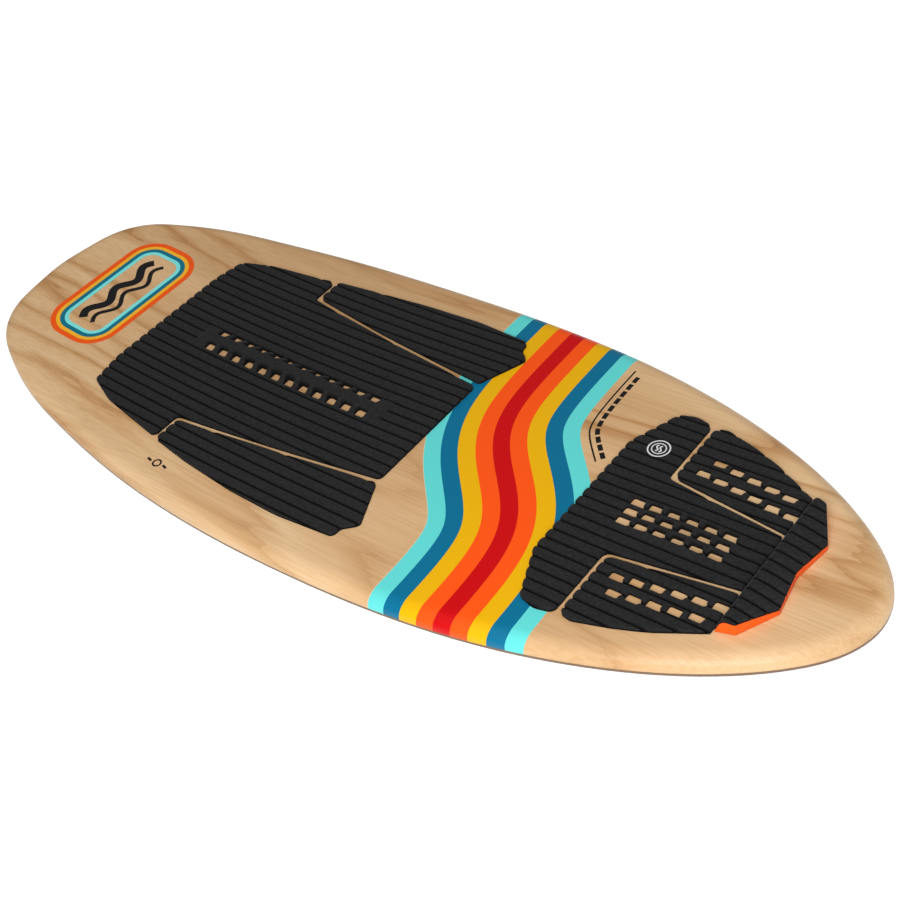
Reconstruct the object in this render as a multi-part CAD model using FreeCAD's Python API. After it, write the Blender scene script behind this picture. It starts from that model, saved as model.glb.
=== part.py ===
import FreeCAD, Part
import math
import os

"""A skim-style board for riding a boat's wake: a laminated hull with a wood-grain deck, foam traction
pads, a raised kick at the tail and two removable fins.

Millimetres. +Y points to the nose, +X to the rider's right, +Z up. The origin is halfway between nose and
tail, on the centreline, on the flat stretch of the hull bottom.
"""

V = FreeCAD.Vector

# ------------------------------------------------------------------ hull
HALF = 660.0
# Plan outline of the right half from nose to tail: (half-width, y).
OUTLINE = [
    (0, HALF), (60, 655), (105.5, 643.5), (143.5, 618), (174.5, 570.5), (203.5, 499.5), (226.5, 402),
    (243.5, 300), (257.5, 120), (256, -60), (238, -250), (194, -425), (137, -548), (90, -612), (46, -648),
    (0, -HALF),
]
THICKNESS = 24.0
FLAT_NOSE_END = 20.0
FLAT_TAIL_END = -80.0
BOTTOM_RISE = dict(nose=56.0, tail=6.5)
DECK_RISE = dict(nose=54.0, tail=5.0)
DECK_EDGE_RADIUS = 17.0
BOTTOM_EDGE_RADIUS = 4.0
SKIN = 1.5
RAIL = 18.0
PARTING_HEIGHT = 6.5
STRINGER = 4.0
REACH = 400.0

# ------------------------------------------------------------------ pads, heights above the deck
FILM = 0.3
PAD = 5.0
GROOVE = dict(width=2.0, depth=1.8)
# Spacing of the channels, and the first one's distance from the centreline in channel spacings.
FRONT_GROOVES = dict(pitch=15.65, first=0.5)
REAR_GROOVES = dict(pitch=14.8, first=0.0)
# Corners of a pad's right half, or of a right-hand pad: (x, y, corner radius).
FRONT_CENTRE = [
    (100, 418.5, 150), (147, 409.5, 9), (164, 365, 60), (181.5, 255, 8), (137.6, 255, 8),
    (119.7, 122, 500), (95, -66.5, 8),
]
FRONT_SIDE = [
    (143.8, 249, 8), (183.5, 249, 7), (192.5, 185, 80), (200.5, 95, 200), (203, 10, 200), (196, -77.5, 8),
    (181.5, -79, 8), (166, -96, 7), (102.3, -67, 6), (125.8, 122, 500),
]
REAR_CENTRE = [
    (97, -298, 20), (161.5, -325.5, 9), (167.5, -347, 25), (162, -370.6, 10), (63.7, -370.6, 10),
    (42.2, -526, 0.5),
]
REAR_SIDE = [
    (69.3, -376.3, 10), (160, -376.3, 9), (163, -392, 15), (150, -435, 100), (136.5, -470, 200),
    (107, -526, 0.5), (48.1, -526, 0.5),
]
FRONT_ARCH = dict(crest=8.0, foot=23.0, nose=346.0, tail=4.0, rise=7.0)
FRONT_HOLES = dict(columns=(-14.0, 14.0), first=315.0, pitch=25.4, count=12, size=(13.0, 17.0))
REAR_ARCH = dict(crest=14.0, foot=29.0, nose=-372.0, tail=-500.0, rise=6.0)
# How an arch's height builds up along it: (share of its length, share of its rise).
ARCH_SHAPE = [(0, 0), (0.08, 0.35), (0.2, 0.72), (0.35, 0.94), (0.5, 1)]
REAR_HOLES = dict(columns=(-16.0, 0.0, 16.0), first=-362.0, pitch=23.2, count=6, size=(11.5, 17.0))
# Rows of openings in the rear side pads: first opening, step to the next, how many.
SIDE_ROWS = [((89.0, -402.0), (-3.3, -23.3), 6), ((110.5, -411.0), (-3.4, -23.3), 5)]
SIDE_HOLE = (11.0, 17.0)
HOLE_CORNER = 2.0

# ------------------------------------------------------------------ kick and badge
KICK_PLAN = [(101.5, -527.3, 1), (96, -548.5, 4), (51, -573, 3), (0, -565, 12)]
# Top of the kick's foam core: (y, height above the deck), from its foot in front to its tail edge.
KICK_CREST = [(-527.3, 1.5), (-530.5, 7.0), (-536.0, 15.4), (-540.5, 16.4)]
KICK_SLOPE = [(-540.5, 16.4), (-556.0, 12.6), (-575.0, 5.6)]
KICK_SHEET = 4.3
BADGE = dict(x=99.5, y=-337.0, radius=14.0, thickness=1.6, recess=1.2, slack=0.05)

# ------------------------------------------------------------------ fins
FIN_X = 88.0
FIN_Y = -446.0
FIN_TOE = 3.0
# Foil sections down the fin: (drop below the root, leading edge, trailing edge, thickness).
FIN_SECTIONS = [(-4, 52, -52, 6.0), (12, 42, -51, 5.4), (28, 20, -52, 4.0), (44, -18, -57, 1.6)]
FIN_CLEARANCE = 0.4
TAB = dict(length=20.0, thickness=5.0, height=10.0, spacing=56.0, slack=0.05, end_slack=0.5)
BOX = dict(length=112.0, width=28.0, depth=14.0)
SCREW = dict(radius=2.5, slack=0.05, length=5.4, lean=40.0, height=6.0, socket=1.25, socket_depth=2.0)


def arc_height(run, half, rise):
    """Height of an arc that leaves level ground at run 0 and has climbed `rise` by run `half`."""
    radius = (half * half + rise * rise) / (2 * rise)
    return radius - math.sqrt(radius * radius - run * run)


def rocker(y, rise):
    """Rise of the deck or bottom at y: level in the middle, one arc to each end."""
    if y > FLAT_NOSE_END:
        return arc_height(y - FLAT_NOSE_END, HALF - FLAT_NOSE_END, rise["nose"])
    if y < FLAT_TAIL_END:
        return arc_height(FLAT_TAIL_END - y, HALF + FLAT_TAIL_END, rise["tail"])
    return 0.0


def bottom_at(y):
    return rocker(y, BOTTOM_RISE)


def deck_at(y):
    return THICKNESS + rocker(y, DECK_RISE)


def rocker_edges(rise, lift):
    """Side-view line at `lift` above the origin: arc, level stretch, arc, from past the tail to past the nose."""
    tail = -HALF - 20
    nose = HALF + 20

    def point(y):
        return V(0, y, lift + rocker(y, rise))

    tail_mid = (tail + FLAT_TAIL_END) / 2
    nose_mid = (nose + FLAT_NOSE_END) / 2
    return [
        Part.Arc(point(tail), point(tail_mid), point(FLAT_TAIL_END)).toShape(),
        Part.LineSegment(point(FLAT_TAIL_END), point(FLAT_NOSE_END)).toShape(),
        Part.Arc(point(FLAT_NOSE_END), point(nose_mid), point(nose)).toShape(),
    ]


def slab(low_rise, low, high_rise, high):
    """Everything between two side-view lines, wider than the board."""
    under = rocker_edges(low_rise, low)
    over = rocker_edges(high_rise, high)
    tail = Part.LineSegment(under[0].Vertexes[0].Point, over[0].Vertexes[0].Point).toShape()
    nose = Part.LineSegment(under[2].Vertexes[-1].Point, over[2].Vertexes[-1].Point).toShape()
    wire = Part.Wire(Part.__sortEdges__(under + [nose] + over + [tail]))
    face = Part.Face(wire)
    face.translate(V(-REACH, 0, 0))
    return face.extrude(V(2 * REACH, 0, 0))


def deck_layer(low, high):
    """A layer that follows the deck, from `low` to `high` above it."""
    return slab(DECK_RISE, THICKNESS + low, DECK_RISE, THICKNESS + high)


def outline_curve():
    right = [V(x, y, 0) for x, y in OUTLINE]
    left = [V(-x, y, 0) for x, y in reversed(OUTLINE[1:-1])]
    curve = Part.BSplineCurve()
    curve.interpolate(Points=right + left, PeriodicFlag=True)
    return curve


def outline_face(inset):
    """Plan outline moved inwards by `inset`, point by point along its own normal."""
    curve = outline_curve()
    if inset:
        moved = []
        for x, y in OUTLINE:
            along = curve.tangent(curve.parameter(V(x, y, 0)))[0]
            moved.append(V(x + along.y * inset, y - along.x * inset, 0))
        moved[0].x = 0
        moved[-1].x = 0
        mirrored = [V(-p.x, p.y, 0) for p in reversed(moved[1:-1])]
        curve = Part.BSplineCurve()
        curve.interpolate(Points=moved + mirrored, PeriodicFlag=True)
    return Part.Face(Part.Wire(curve.toShape()))


def plan_prism(face, low=-20.0, high=160.0):
    moved = face.copy()
    moved.translate(V(0, 0, low))
    return moved.extrude(V(0, 0, high - low))


def hull_body():
    """The hull's outer form: the outline between bottom and deck, with both of its rims rounded."""
    blank = plan_prism(outline_face(0)).common(slab(BOTTOM_RISE, 0, DECK_RISE, THICKNESS)).Solids[0]
    rounded = blank.makeFillet(DECK_EDGE_RADIUS, [e for e in blank.Edges if is_rim(e, deck_at)])
    return rounded.makeFillet(BOTTOM_EDGE_RADIUS, [e for e in rounded.Edges if is_rim(e, bottom_at)])


def is_rim(edge, height_at):
    """True for a curved edge that lies on the given surface, which runs round the outline."""
    first, last = edge.ParameterRange
    points = [edge.valueAt(first + (last - first) * k) for k in (0.1, 0.35, 0.6, 0.85)]
    on_surface = all(abs(p.z - height_at(p.y)) < 0.02 for p in points)
    return on_surface and edge.Curve.TypeId != "Part::GeomLine"


def corner_wire(corners):
    """Closed wire through corner points (x, y, radius), each corner rounded by an arc."""
    count = len(corners)
    edges = []
    ends = []
    for i, (x, y, radius) in enumerate(corners):
        here = V(x, y, 0)
        before = (V(*corners[i - 1][:2], 0) - here).normalize()
        after = (V(*corners[(i + 1) % count][:2], 0) - here).normalize()
        half_angle = before.getAngle(after) / 2
        setback = radius / math.tan(half_angle)
        middle = (before + after).normalize() * (radius / math.sin(half_angle) - radius)
        start = here + before * setback
        finish = here + after * setback
        edges.append(Part.Arc(start, here + middle, finish).toShape())
        ends.append((start, finish))
    for i in range(count):
        start = ends[i][1]
        finish = ends[(i + 1) % count][0]
        edges.append(Part.LineSegment(start, finish).toShape())
    return Part.Wire(Part.__sortEdges__(edges))


def mirrored_corners(half):
    """A full outline from its right half, running nose to tail and back up the left."""
    left = [(-x, y, r) for x, y, r in reversed(half) if x > 0]
    return half + left


def left_of(shape):
    return shape.mirror(V(0, 0, 0), V(1, 0, 0))


def opening(x, y, size):
    half_x = size[0] / 2
    half_y = size[1] / 2
    corners = [
        (x - half_x, y - half_y, HOLE_CORNER), (x + half_x, y - half_y, HOLE_CORNER),
        (x + half_x, y + half_y, HOLE_CORNER), (x - half_x, y + half_y, HOLE_CORNER),
    ]
    return plan_prism(Part.Face(corner_wire(corners)))


def hole_grid(spec):
    rows = [spec["first"] - k * spec["pitch"] for k in range(spec["count"])]
    return [opening(x, y, spec["size"]) for x in spec["columns"] for y in rows]


def side_holes():
    holes = []
    for (x, y), (step_x, step_y), count in SIDE_ROWS:
        for k in range(count):
            holes.append(opening(x + k * step_x, y + k * step_y, SIDE_HOLE))
    return holes


def groove_strips(spec, y, length, clear=0):
    """Upright slabs along the board at a pad's channels, none within `clear` of the centreline."""
    strips = []
    for k in range(-14, 15):
        x = (k + spec["first"]) * spec["pitch"]
        if abs(x) >= clear:
            strips.append(Part.makeBox(GROOVE["width"], length, 160, V(x - GROOVE["width"] / 2, y, -20)))
    return Part.makeCompound(strips)


def pad(corners, holes, grooves, clear=0):
    """One foam pad: its outline between film and top, less its openings and channels."""
    prism = plan_prism(Part.Face(corner_wire(corners)))
    body = prism.common(deck_layer(FILM, FILM + PAD))
    if holes:
        body = body.cut(holes)
    top = FILM + PAD
    layer = deck_layer(top - GROOVE["depth"], top + 1)
    return body.cut(groove_strips(grooves, -700, 1400, clear).common(layer))


def film(corners, holes):
    body = plan_prism(Part.Face(corner_wire(corners))).common(deck_layer(0, FILM))
    return body.cut(holes) if holes else body


def arch(spec, holes):
    """A rib standing on the pad: level across its crest, sloped at its sides, rising from both ends."""
    top = FILM + PAD
    length = spec["nose"] - spec["tail"]
    shape = ARCH_SHAPE + [(1 - along, up) for along, up in reversed(ARCH_SHAPE[:-1])]
    sections = []
    for along, up in shape:
        y = spec["tail"] + along * length
        crest = deck_at(y) + top + 0.05 + up * spec["rise"]
        floor = deck_at(y) + top - 1
        corners = [
            V(-spec["foot"], y, floor), V(-spec["crest"], y, crest),
            V(spec["crest"], y, crest), V(spec["foot"], y, floor),
        ]
        sections.append(Part.makePolygon(corners + corners[:1]))
    rib = Part.makeLoft(sections, True, True)
    return rib.common(deck_layer(top, top + 40)).cut(holes)


def kick_prism():
    return plan_prism(Part.Face(corner_wire(mirrored_corners(KICK_PLAN))))


def kick_region(lift):
    """Everything under the kick's top line raised by `lift`, down to below the deck."""
    def above(points):
        return [V(-REACH, y, deck_at(y) + h + lift) for y, h in points]

    front = Part.BSplineCurve()
    front.interpolate(above(KICK_CREST))
    back = Part.BSplineCurve()
    back.interpolate(above(KICK_SLOPE))
    first = front.StartPoint
    last = back.EndPoint
    low_first = V(-REACH, first.y, 0)
    low_last = V(-REACH, last.y, 0)
    edges = [
        front.toShape(), back.toShape(), Part.LineSegment(last, low_last).toShape(),
        Part.LineSegment(low_last, low_first).toShape(), Part.LineSegment(low_first, first).toShape(),
    ]
    return Part.Face(Part.Wire(edges)).extrude(V(2 * REACH, 0, 0))


def kick():
    """The kick's foam core and the grooved sheet over it."""
    column = kick_prism().common(deck_layer(FILM, 60))
    core = column.common(kick_region(0))
    sheet = column.common(kick_region(KICK_SHEET)).cut(core)
    floor = kick_region(KICK_SHEET - GROOVE["depth"])
    sheet = sheet.cut(groove_strips(REAR_GROOVES, -600, 80).cut(floor))
    return core, sheet


def badge_disc(radius, low, high):
    z = deck_at(BADGE["y"]) + FILM + PAD
    return Part.makeCylinder(radius, high - low, V(BADGE["x"], BADGE["y"], z + low))


def lens(leading, trailing, thickness, z):
    """A foil section: two arcs meeting at a blunt leading edge and a thin trailing edge."""
    middle = leading * 0.62 + trailing * 0.38
    nose = V(0, leading, z)
    tail = V(0, trailing, z)
    right = Part.Arc(nose, V(thickness / 2, middle, z), tail).toShape()
    left = Part.Arc(tail, V(-thickness / 2, middle, z), nose).toShape()
    return Part.Wire([right, left])


def tab_block(slack, end_slack, low, high):
    blocks = []
    for y in (-TAB["spacing"] / 2, TAB["spacing"] / 2):
        corner = V(-TAB["thickness"] / 2 - slack, y - TAB["length"] / 2 - slack, low)
        size = (TAB["thickness"] + 2 * slack, TAB["length"] + 2 * slack, high + end_slack - low)
        blocks.append(Part.makeBox(*size, corner))
    return blocks


def placed(shape):
    """Turn a fin-frame shape (root at z = 0) to the right-hand fin's place and toe angle."""
    moved = shape.copy()
    moved.rotate(V(0, 0, 0), V(0, 0, 1), FIN_TOE)
    moved.translate(V(FIN_X, FIN_Y, bottom_at(FIN_Y)))
    return moved


def fin():
    sections = [lens(lead, trail, thick, -drop) for drop, lead, trail, thick in FIN_SECTIONS]
    blade = placed(Part.makeLoft(sections, True))
    blade = blade.cut(slab(BOTTOM_RISE, -FIN_CLEARANCE, BOTTOM_RISE, 60))
    tabs = [placed(block) for block in tab_block(0, 0, -3, TAB["height"])]
    return blade.fuse(tabs).removeSplitter()


def screw_axis(y):
    """Tip centre and outward direction of the screw that clamps the tab at y, in the fin frame."""
    lean = math.radians(SCREW["lean"])
    tip_x = TAB["thickness"] / 2 + SCREW["slack"] + SCREW["radius"] * math.cos(lean) + 0.03
    return V(tip_x, y, SCREW["height"]), V(math.sin(lean), 0, -math.cos(lean))


def screws():
    solids = []
    for y in (-TAB["spacing"] / 2, TAB["spacing"] / 2):
        tip, out = screw_axis(y)
        pin = Part.makeCylinder(SCREW["radius"], SCREW["length"], tip, out)
        head = tip + out * (SCREW["length"] - SCREW["socket_depth"])
        solids.append(placed(pin.cut(hexagon(head, out))))
    return solids


def hexagon(base, axis):
    across = SCREW["socket"] / math.cos(math.radians(30))
    side = V(0, 1, 0)
    up = axis.cross(side)
    points = []
    for k in range(6):
        angle = math.radians(60 * k)
        points.append(base + side * (across * math.cos(angle)) + up * (across * math.sin(angle)))
    return Part.Face(Part.makePolygon(points + points[:1])).extrude(axis * 5)


def screw_bores():
    bores = []
    for y in (-TAB["spacing"] / 2, TAB["spacing"] / 2):
        tip, out = screw_axis(y)
        bores.append(placed(Part.makeCylinder(SCREW["radius"] + SCREW["slack"], 30, tip - out * 3.0, out)))
    return bores


def box_plan():
    half_x = BOX["width"] / 2
    half_y = BOX["length"] / 2
    round_end = half_x - 1
    corners = [
        (half_x, half_y, round_end), (half_x, -half_y, round_end),
        (-half_x, -half_y, round_end), (-half_x, half_y, round_end),
    ]
    return placed(plan_prism(Part.Face(corner_wire(corners)), -30, 60))


def fin_box():
    block = box_plan().common(slab(BOTTOM_RISE, 0, BOTTOM_RISE, BOX["depth"]))
    slots = [placed(s) for s in tab_block(TAB["slack"], TAB["end_slack"], -20, TAB["height"])]
    return block.cut(slots).cut(screw_bores())


def build():
    """Every node of the board: name and its list of solids."""
    middle = plan_prism(outline_face(RAIL))
    rail = hull_body().cut(middle)
    lower = slab(BOTTOM_RISE, -30, BOTTOM_RISE, PARTING_HEIGHT)
    pocket = box_plan().common(slab(BOTTOM_RISE, -30, BOTTOM_RISE, BOX["depth"]))
    pockets = [pocket, left_of(pocket)]

    core = middle.common(slab(BOTTOM_RISE, SKIN, DECK_RISE, THICKNESS - SKIN))
    right_side = Part.makeBox(REACH, 1400, 200, V(STRINGER / 2, -700, -20))
    left_side = Part.makeBox(REACH, 1400, 200, V(-STRINGER / 2 - REACH, -700, -20))
    strip = Part.makeBox(STRINGER, 1400, 200, V(-STRINGER / 2, -700, -20))

    kick_core, kick_sheet = kick()
    fin_right = fin()
    box_right = fin_box()
    screws_right = screws()

    front_grid = hole_grid(FRONT_HOLES)
    rear_grid = hole_grid(REAR_HOLES)
    side_grid = side_holes()
    front_centre = mirrored_corners(FRONT_CENTRE)
    rear_centre = mirrored_corners(REAR_CENTRE)
    badge_low = -BADGE["recess"]
    badge_seat = badge_disc(BADGE["radius"] + BADGE["slack"], badge_low, 5)

    front_side = pad(FRONT_SIDE, [], FRONT_GROOVES)
    rear_side = pad(REAR_SIDE, side_grid, REAR_GROOVES)
    front_side_film = film(FRONT_SIDE, [])
    rear_side_film = film(REAR_SIDE, side_grid)
    kick_film = kick_prism().common(deck_layer(0, FILM))

    return {
        "deck_skin": [middle.common(deck_layer(-SKIN, 0))],
        "bottom_skin": [middle.common(slab(BOTTOM_RISE, 0, BOTTOM_RISE, SKIN)).cut(pockets)],
        "rail_cap": [rail.cut(lower)],
        "rail_edge": [rail.common(lower)],
        "foam_core_right": [core.common(right_side).cut(pockets)],
        "foam_core_left": [core.common(left_side).cut(pockets)],
        "stringer": [core.common(strip)],
        "fin_box_right": [box_right],
        "fin_box_left": [left_of(box_right)],
        "fin_right": [fin_right],
        "fin_left": [left_of(fin_right)],
        "fin_screws_right": screws_right,
        "fin_screws_left": [left_of(s) for s in screws_right],
        "front_centre_pad": [pad(front_centre, front_grid, FRONT_GROOVES, FRONT_GROOVES["pitch"])],
        "front_right_pad": [front_side],
        "front_left_pad": [left_of(front_side)],
        "front_arch_bar": [arch(FRONT_ARCH, front_grid)],
        "rear_centre_pad": [pad(rear_centre, rear_grid, REAR_GROOVES).cut(badge_seat)],
        "rear_right_pad": [rear_side],
        "rear_left_pad": [left_of(rear_side)],
        "rear_arch_bar": [arch(REAR_ARCH, rear_grid)],
        "kick_core": [kick_core],
        "kick_sheet": [kick_sheet],
        "pad_badge": [badge_disc(BADGE["radius"], badge_low, badge_low + BADGE["thickness"])],
        "front_centre_adhesive": [film(front_centre, front_grid)],
        "front_side_adhesive": [front_side_film, left_of(front_side_film)],
        "rear_centre_adhesive": [film(rear_centre, rear_grid)],
        "rear_side_adhesive": [rear_side_film, left_of(rear_side_film)],
        "kick_adhesive": [kick_film],
    }


def export(nodes):
    os.makedirs("parts", exist_ok=True)
    for name, shapes in nodes.items():
        solids = [solid for shape in shapes for solid in shape.Solids]
        shape = solids[0] if len(solids) == 1 else Part.makeCompound(solids)
        print(name, len(solids), "valid", shape.isValid(), "volume %.1f" % shape.Volume)
        shape.exportStep("parts/" + name + ".step")


export(build())
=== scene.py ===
import math

import bmesh
import bpy
import numpy as np
from mathutils import Matrix, Vector
from mathutils.bvhtree import BVHTree


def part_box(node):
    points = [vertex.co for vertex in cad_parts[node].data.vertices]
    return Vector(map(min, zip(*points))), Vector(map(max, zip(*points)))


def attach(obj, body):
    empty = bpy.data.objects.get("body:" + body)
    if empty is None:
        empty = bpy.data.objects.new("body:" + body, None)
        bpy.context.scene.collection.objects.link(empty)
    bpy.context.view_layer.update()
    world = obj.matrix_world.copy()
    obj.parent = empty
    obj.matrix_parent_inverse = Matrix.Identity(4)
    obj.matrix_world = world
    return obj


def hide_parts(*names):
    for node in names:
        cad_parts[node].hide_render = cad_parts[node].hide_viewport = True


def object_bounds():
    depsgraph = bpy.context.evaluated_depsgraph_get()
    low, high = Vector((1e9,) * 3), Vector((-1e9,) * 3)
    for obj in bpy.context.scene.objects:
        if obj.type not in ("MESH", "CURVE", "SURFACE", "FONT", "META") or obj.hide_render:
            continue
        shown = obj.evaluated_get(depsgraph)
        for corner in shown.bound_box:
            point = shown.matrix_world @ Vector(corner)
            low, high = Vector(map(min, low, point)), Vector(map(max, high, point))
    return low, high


MM = 0.001

# ------------------------------------------------------------------ camera
# The point looked at, the direction looked from (degrees), and the lens.
TARGET = (0.0828, 0.0702, 0.014)
AZIMUTH = -40.35
ELEVATION = 37.65
DISTANCE = 1.928
ROLL = -15.14
LENS = 58.0
SENSOR = 36.0
SHIFT = (0.0660, -0.0894)
CLIP_END = 100

# ------------------------------------------------------------------ hull
# Ends of the stretch along the board where deck and bottom are level.
LEVEL = (-0.080, 0.020)
# Where along the board the level height and the two end arcs are measured.
LEVEL_STATION = -0.03
ARC_STATION = 0.60
# Rays go down beside the centreline, clear of edges that run along it.
OFF_CENTRE = 0.0013
# Heights above the bottom: of the outline's rays, of the laminate's lower edge, of the widest line.
RIM_RAYS = 6 * MM
PARTING = 6.45 * MM
RAIL_WIDEST = 7.5 * MM
# How far the rounded shoulder reaches in from the rim, and the centreline stretch that the
# deck's rings shrink to.
SHOULDER = 21 * MM
SPINE = (-0.50, 0.48)
RIM_STEPS = 440
SHOULDER_STEPS = 12
INNER_STEPS = 36
# Rays that find the outline: fans of angles round the two tips, and stations along the side.
NOSE_FAN_CENTRE = 0.47
NOSE_FAN = (14, 30, 46, 62, 80)
SIDE_STATIONS = (0.40, 0.28, 0.14, 0.0, -0.14, -0.27, -0.38, -0.46)
TAIL_FAN_CENTRE = -0.50
TAIL_FAN = (72, 52, 34, 17)
# First guess of how far the outline lies from a fan's centre.
FAN_REACH = 0.18
SPLINE_STEPS = 60
# Points closer together than this are merged.
WELD = 0.02 * MM

# ------------------------------------------------------------------ printed graphic
# The middle stripe's line: level at each side of the board, with one soft step across it.
STRIPE_PITCH = 21.3 * MM
STRIPE_RIGHT = -0.125
STRIPE_LEFT = -0.270
STRIPE_TURN = -0.017
STRIPE_SOFTNESS = 0.074
STRIPE_REACH = 0.34
TURQUOISE = (98, 217, 213)
TEAL = (0, 110, 147)
YELLOW = (237, 179, 0)
ORANGE = (255, 86, 13)
RED = (204, 0, 6)
STRIPES = [TURQUOISE, TEAL, YELLOW, ORANGE, RED, ORANGE, YELLOW, TEAL, TURQUOISE]
# The veneer's tones, and how many growth-ring lines its swirls hold.
WOOD_LIGHT = (230, 195, 151)
WOOD_MID = (217, 178, 132)
WOOD_DARK = (192, 151, 106)
RINGS = 17.0
# The nose emblem: nested bands (name, width, colour) round two waves (offset, width).
EMBLEM_CENTRE = (0.006, 0.520)
EMBLEM_HALF = (0.115, 0.0605)
EMBLEM_CORNER = 0.046
EMBLEM_BANDS = [
    ("emblem_outer", 8.0 * MM, (250, 92, 12)),
    ("emblem_yellow", 5.8 * MM, (255, 188, 38)),
    ("emblem_teal", 7.0 * MM, (6, 116, 140)),
    ("emblem_inner", 6.0 * MM, (128, 238, 234)),
]
EMBLEM_STEP = 6 * MM
WAVES = [(9 * MM, 13.0 * MM), (-11 * MM, 7.0 * MM)]
WAVE_HALF_LENGTH = 0.072
WAVE_HEIGHT = 7.5 * MM
WAVE_COUNT = 2.5
PRINT_LIFT = 0.12 * MM
# Lines beside the stripes: distance from the middle stripe, and the ends across the board.
THIN_LINE = dict(offset=0.107, start=0.052, end=0.212, width=2.2 * MM)
DASHED_LINE = dict(offset=0.1165, start=0.060, end=0.215, width=6.0 * MM, dash=11 * MM, gap=3.5 * MM)
# The small mark by the left rail: a ring, with a bar before and behind it.
SIDE_MARK = (-0.213, 0.216)
MARK_RING = dict(radius=5.5 * MM, width=2.6 * MM)
MARK_BAR = dict(offset=14 * MM, half=4 * MM, slant=1 * MM, width=3.4 * MM)
# The badge's mark, in shares of its radius: rings (name, outer, inner) and two waves.
BADGE_RINGS = [("badge_ring", 1.0, 0.88), ("badge_inner_ring", 0.66, 0.56)]
BADGE_WAVE = dict(offset=0.16, half=0.36, height=0.13, width=0.13)
BADGE_LIFT = 0.15 * MM
BADGE_STEPS = 72

# ------------------------------------------------------------------ pads
# Spacing of the pads' channels and where across the board one of them runs.
FRONT_GROOVES = (15.65 * MM, 5.0 * MM)
REAR_GROOVES = (14.8 * MM, -4.0 * MM)
# Depth of a channel and of the ridges' rounding, and the widths over which each fades out.
GROOVE_DEPTH = 2.6 * MM
GROOVE_WIDTH = 0.9 * MM
RIDGE_ROUNDING = 0.6 * MM
KICK_ROUNDING = 1.5 * MM
ROUNDING_WIDTH = 3.6 * MM
# Width over which the painted shade in each channel fades out.
GROOVE_SHADE_WIDTH = 1.5 * MM
# A sheet's outline is drawn in at each channel that runs out through it, less so the more
# nearly the outline runs along the channel. CROSSING holds the slants for none and for all of it.
SCALLOP = 1.5 * MM
SCALLOP_WIDTH = 2.2 * MM
CROSSING = (0.35, 0.55)
# Depth and width of the rounded rim round a sheet's top.
PAD_EDGE = 1.0 * MM
PAD_EDGE_WIDTH = 1.6 * MM
PAD_COLOUR = (30, 30, 31)
PAD_SHARP = 62
# How far the sampling grid reaches past a sheet's outline, and the spacing of its rows.
PAD_MARGIN = 2 * MM
ROW_STEP = 1.7 * MM
# The kick's steep front is sampled in finer rows.
KICK_FRONT = 16 * MM
KICK_ROW_STEP = 0.7 * MM
# Where across the board the kick's tail edge reaches furthest back.
KICK_LOBE = 0.0505
# Where to sample across one ridge, from a channel's middle outwards.
RIDGE_SAMPLES = [0, 0.45, 0.85, 1.3, 2.0, 3.4, 5.4]
# Raised ribs: half widths of the level crest and of the foot, ends along the board, height.
FRONT_ARCH = dict(crest=6.0 * MM, foot=21.5 * MM, nose=0.346, tail=0.004, rise=9.0 * MM)
REAR_ARCH = dict(crest=20 * MM, foot=30 * MM, nose=-0.372, tail=-0.497, rise=4.0 * MM)
ARCH_FULLNESS = 0.62
# Widths over which the channels fade out at the sides and the ends of the bare front rib.
BARE_SIDE = 2 * MM
BARE_END = 3 * MM
KICK_ORANGE = (252, 96, 16)
# Angles, in degrees, beyond which a CAD node's edges are shaded sharp and are bevelled.
CAD_SHARP = 34
BEVEL_SHARP = 40
# How many points are measured against a line at once.
BLOCK = 4000

# ------------------------------------------------------------------ studio
# Light from all round, the floor's glow as the camera sees it, and its glow on to the board.
WORLD_LIGHT = 0.22
FLOOR_GLOW = 0.62
FLOOR_FILL = 0.25
FLOOR_HALF = 30.0
FLOOR_DROP = 2 * MM
SOFTBOX = dict(direction=(-0.2, -0.25, 1.0), spread=60, strength=1.04)
LEFT_KEY = dict(place=(-1.25, -1.0, 1.15), size=1.1, power=26)

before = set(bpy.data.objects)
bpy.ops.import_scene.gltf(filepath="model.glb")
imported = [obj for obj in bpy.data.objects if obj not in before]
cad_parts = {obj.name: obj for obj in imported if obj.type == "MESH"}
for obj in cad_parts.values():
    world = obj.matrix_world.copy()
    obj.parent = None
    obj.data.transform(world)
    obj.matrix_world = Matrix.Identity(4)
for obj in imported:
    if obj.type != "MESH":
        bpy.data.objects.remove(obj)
cad_low, cad_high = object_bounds()


# ================================================================== helpers
def srgb(colour):
    """An sRGB colour of 0..255 values as linear RGBA."""
    linear = []
    for c in colour:
        v = c / 255
        linear.append(v / 12.92 if v <= 0.04045 else ((v + 0.055) / 1.055) ** 2.4)
    return (*linear, 1.0)


def grey(level):
    """A linear grey as RGBA."""
    return (level, level, level, 1)


def tree_of(*nodes):
    """One ray-cast tree over CAD nodes at rest."""
    verts = []
    faces = []
    for name in nodes:
        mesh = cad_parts[name].data
        base = len(verts)
        verts += [v.co.copy() for v in mesh.vertices]
        faces += [[base + i for i in p.vertices] for p in mesh.polygons]
    return BVHTree.FromPolygons(verts, faces)


def add_mesh(name, verts, faces, material):
    """A smooth-shaded piece that rides on the hull."""
    mesh = bpy.data.meshes.new(name)
    mesh.from_pydata([tuple(v) for v in verts], [], [tuple(f) for f in faces])
    mesh.validate()
    mesh.update()
    mesh.polygons.foreach_set("use_smooth", [True] * len(mesh.polygons))
    obj = bpy.data.objects.new(name, mesh)
    bpy.context.scene.collection.objects.link(obj)
    obj.data.materials.append(material)
    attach(obj, "hull")
    return obj


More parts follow.
